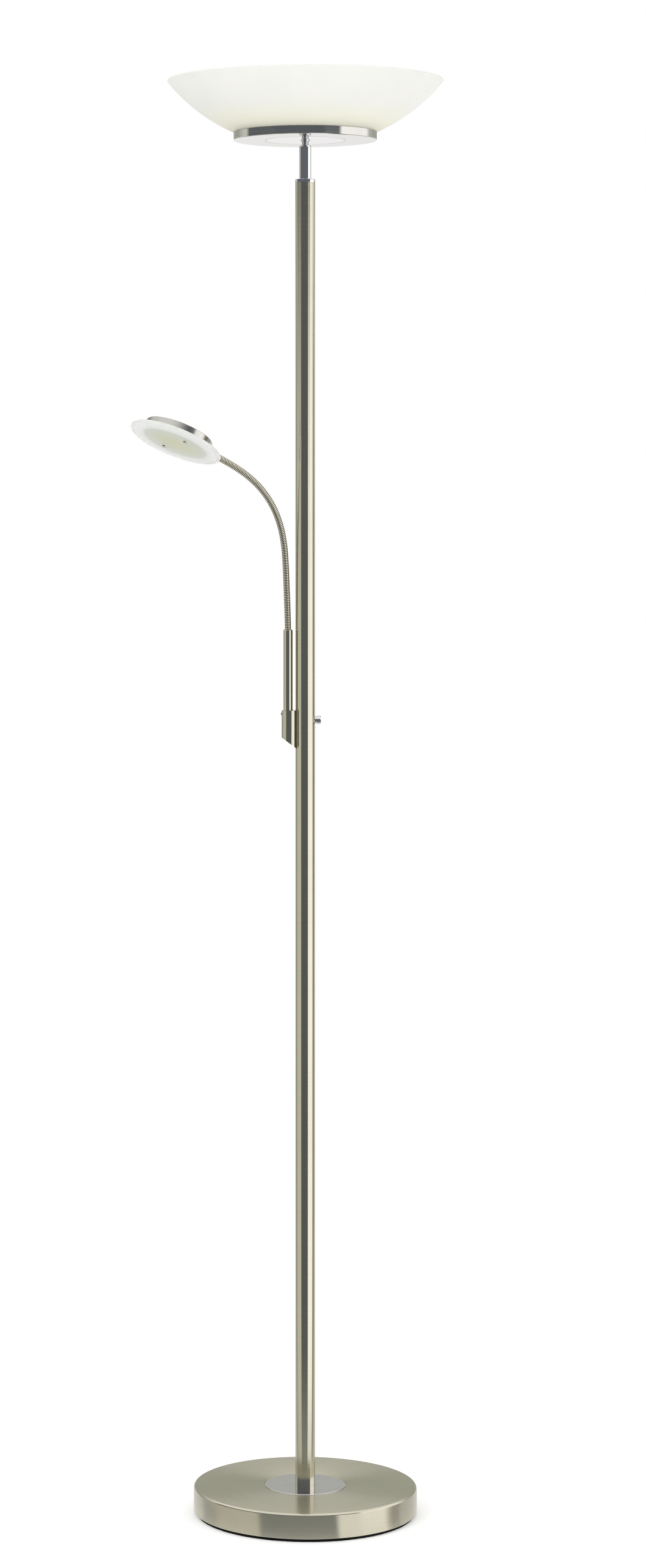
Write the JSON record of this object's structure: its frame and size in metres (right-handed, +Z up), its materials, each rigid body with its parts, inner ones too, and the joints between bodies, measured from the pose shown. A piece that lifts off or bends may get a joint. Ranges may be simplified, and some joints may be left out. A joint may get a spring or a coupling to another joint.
{
  "type": "torchiere floor lamp with reading light",
  "caption": "Tall floor lamp on a round weighted base, with a shallow glass bowl that lights upwards and a small disc reading light on a ribbed flexible arm.",
  "frame": {"origin": "on the floor under the pole, at the centre of the base", "axes": "+Z up along the pole; +X to the right seen from the front, where the dimmer knob is; +Y to the back, where the cord leaves the base"},
  "size_m": [0.3936, 0.3468, 1.8],
  "materials": {
    "brushed_nickel": "satin nickel, fine brushed",
    "polished_chrome": "polished",
    "opal_glass": "satin white opal glass",
    "satin_glass": "satin glass with a clear border",
    "black_pad": "matt black",
    "black_rubber": "matt black",
    "cast_iron": "as cast, painted",
    "zinc_steel": "zinc plated",
    "black_steel": "black oxide",
    "black_plastic": "moulded",
    "lead_jacket": "round flexible cable",
    "white_aluminium": "cast, pale",
    "board": "white solder mask",
    "led": "phosphor",
    "phosphor_cover": "translucent, warm",
    "flex_steel": "nickel plated wound wire",
    "white_plastic": "moulded white"
  },
  "bodies": {
    "lamp": {"arm_bush": "zinc_steel", "arm_tube": "brushed_nickel", "base_cover": "brushed_nickel", "base_disc": "polished_chrome", "base_lead": "lead_jacket", "base_nut": "zinc_steel", "base_pad": "black_pad", "base_tie_tube": "zinc_steel", "base_washer": "zinc_steel", "base_weight": "cast_iron", "bowl_gasket": "black_rubber", "bracket_anchor": "zinc_steel", "bracket_screw": "zinc_steel", "cord_grommet": "black_rubber", "dimmer_body": "zinc_steel", "dimmer_collar": "polished_chrome", "driver_screws": "zinc_steel", "flex_root": "flex_steel", "grub_screw": "black_steel", "led_driver": "black_plastic", "module_cover": "phosphor_cover", "module_tray": "white_aluminium", "neck_bush": "zinc_steel", "neck_stem": "zinc_steel", "neck_tube": "polished_chrome", "pan_disc": "polished_chrome", "pan_washer": "polished_chrome", "pole_cap": "polished_chrome", "pole_foot_plug": "zinc_steel", "pole_top_plug": "zinc_steel", "pole_tube": "brushed_nickel", "reading_bracket": "brushed_nickel", "stem_nut": "zinc_steel", "uplight_board": "board", "uplight_glass": "opal_glass", "uplight_lead": "lead_jacket", "uplight_leds": "led", "uplight_pan": "brushed_nickel"},
    "dimmer_control": {"dimmer_shaft": "zinc_steel", "dimmer_knob": "polished_chrome"},
    "arm_link_01": {"flex_link_01": "flex_steel"},
    "arm_link_02": {"flex_link_02": "flex_steel"},
    "arm_link_03": {"flex_link_03": "flex_steel"},
    "arm_link_04": {"flex_link_04": "flex_steel"},
    "arm_link_05": {"flex_link_05": "flex_steel"},
    "arm_link_06": {"flex_link_06": "flex_steel"},
    "arm_link_07": {"flex_link_07": "flex_steel"},
    "reading_head": {"flex_ferrule": "brushed_nickel", "reading_drum": "brushed_nickel", "ferrule_nut": "zinc_steel", "drum_posts": "zinc_steel", "reading_board": "board", "reading_leds": "led", "reading_reflector": "white_plastic", "reading_glass": "satin_glass", "glass_washers": "white_plastic", "glass_screws": "brushed_nickel"}
  },
  "joints": [
    {"name": "dimmer_turn", "type": "hinge", "parent": "lamp", "child": "dimmer_control", "pos_m": [0.0139, 0, 0.996], "axis": [1, 0, 0], "range_deg": [-150, 150]},
    {"name": "arm_side_1", "type": "hinge", "parent": "lamp", "child": "arm_link_01", "pos_m": [-0.02452, -0.0013, 1.19015], "axis": [0.9119, 0.406, 0.0602], "range_deg": [-10, 10]},
    {"name": "arm_bend_1", "type": "hinge", "parent": "arm_link_01", "child": "arm_link_02", "pos_m": [-0.02634, -0.00211, 1.21547], "axis": [0.4067, -0.9135, 0], "range_deg": [-10, 10]},
    {"name": "arm_side_2", "type": "hinge", "parent": "arm_link_02", "child": "arm_link_03", "pos_m": [-0.03118, -0.00427, 1.24032], "axis": [0.8707, 0.3877, 0.3027], "range_deg": [-10, 10]},
    {"name": "arm_bend_2", "type": "hinge", "parent": "arm_link_03", "child": "arm_link_04", "pos_m": [-0.04032, -0.00834, 1.26367], "axis": [0.4067, -0.9135, 0], "range_deg": [-10, 10]},
    {"name": "arm_side_3", "type": "hinge", "parent": "arm_link_04", "child": "arm_link_05", "pos_m": [-0.05394, -0.0144, 1.28424], "axis": [0.6779, 0.3018, 0.6704], "range_deg": [-10, 10]},
    {"name": "arm_bend_3", "type": "hinge", "parent": "arm_link_05", "child": "arm_link_06", "pos_m": [-0.07126, -0.02211, 1.30115], "axis": [0.4067, -0.9135, 0], "range_deg": [-10, 10]},
    {"name": "arm_side_4", "type": "hinge", "parent": "arm_link_06", "child": "arm_link_07", "pos_m": [-0.09098, -0.03089, 1.31453], "axis": [0.4431, 0.1973, 0.8745], "range_deg": [-10, 10]},
    {"name": "arm_bend_4", "type": "hinge", "parent": "arm_link_07", "child": "reading_head", "pos_m": [-0.1118, -0.04016, 1.32577], "axis": [0.4067, -0.9135, 0], "range_deg": [-8, 8]}
  ],
  "couplings": [
    {"joint": "arm_side_2", "follows": "arm_side_1", "ratio": 1},
    {"joint": "arm_bend_2", "follows": "arm_bend_1", "ratio": 1},
    {"joint": "arm_side_3", "follows": "arm_side_1", "ratio": 1},
    {"joint": "arm_bend_3", "follows": "arm_bend_1", "ratio": 1},
    {"joint": "arm_side_4", "follows": "arm_side_1", "ratio": 1},
    {"joint": "arm_bend_4", "follows": "arm_bend_1", "ratio": 0.8}
  ]
}
